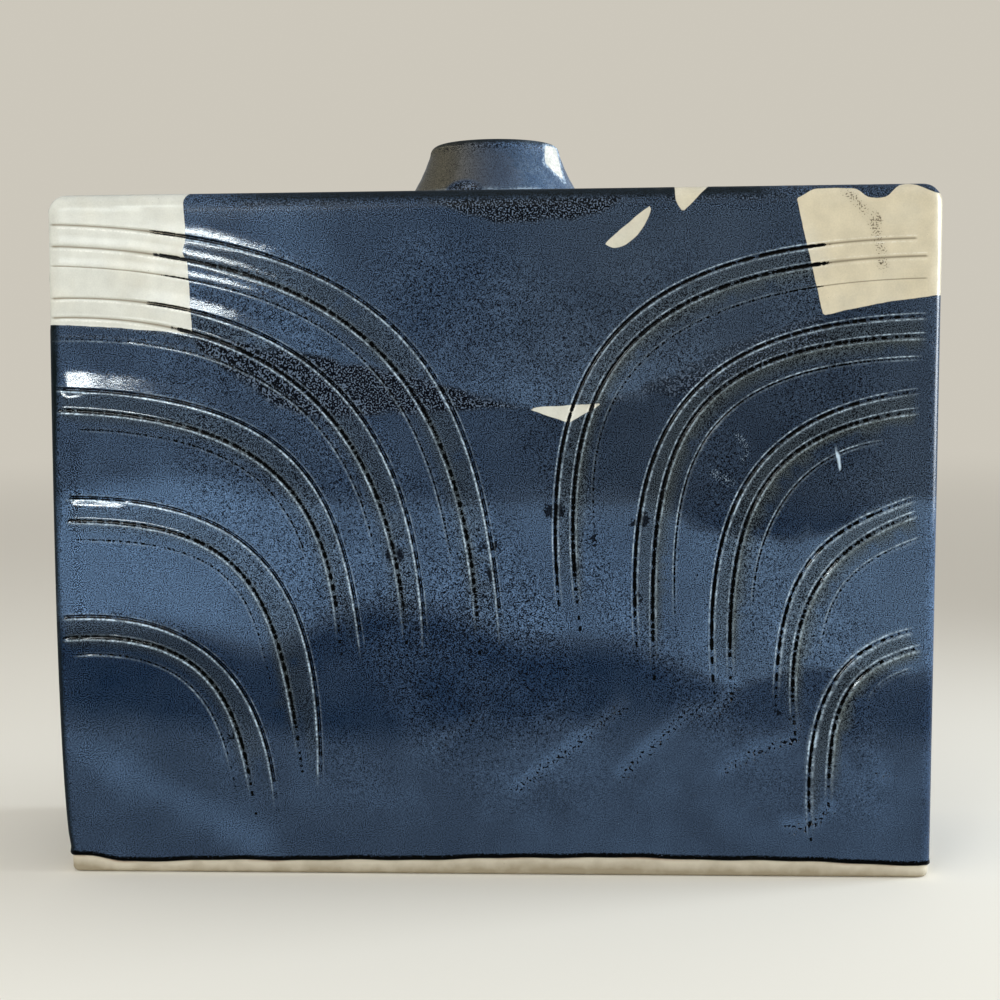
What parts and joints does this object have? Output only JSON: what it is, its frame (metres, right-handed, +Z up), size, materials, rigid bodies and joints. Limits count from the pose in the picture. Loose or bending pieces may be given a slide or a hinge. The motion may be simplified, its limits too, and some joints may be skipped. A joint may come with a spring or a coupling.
{
  "type": "pillow vase",
  "caption": "Flat upright slab-built stoneware vase with a short flared neck, blue poured glaze over combed arcs and a bare clay foot",
  "frame": {"origin": "centre of the flat underside, on the table plane", "axes": "+Z up; X along the width, +X to the viewer's right when facing the front; the decorated front faces -Y and Y runs through the depth"},
  "size_m": [0.2066, 0.06, 0.174],
  "materials": {
    "glazed_stoneware": "satin-gloss slate blue poured glaze with fine dark speckle over pale clay",
    "bare_stoneware": "unglazed fired pale buff stoneware, dry and slightly gritty"
  },
  "bodies": {
    "root": {"front_slab": "glazed_stoneware", "back_slab": "glazed_stoneware", "left_side_slab": "glazed_stoneware", "right_side_slab": "glazed_stoneware", "shoulder_slab": "glazed_stoneware", "neck_collar": "glazed_stoneware", "base_slab": "bare_stoneware", "front_left_seam_coil": "bare_stoneware", "front_right_seam_coil": "bare_stoneware", "back_left_seam_coil": "bare_stoneware", "back_right_seam_coil": "bare_stoneware", "front_base_coil": "bare_stoneware", "back_base_coil": "bare_stoneware", "left_base_coil": "bare_stoneware", "right_base_coil": "bare_stoneware"}
  },
  "joints": []
}
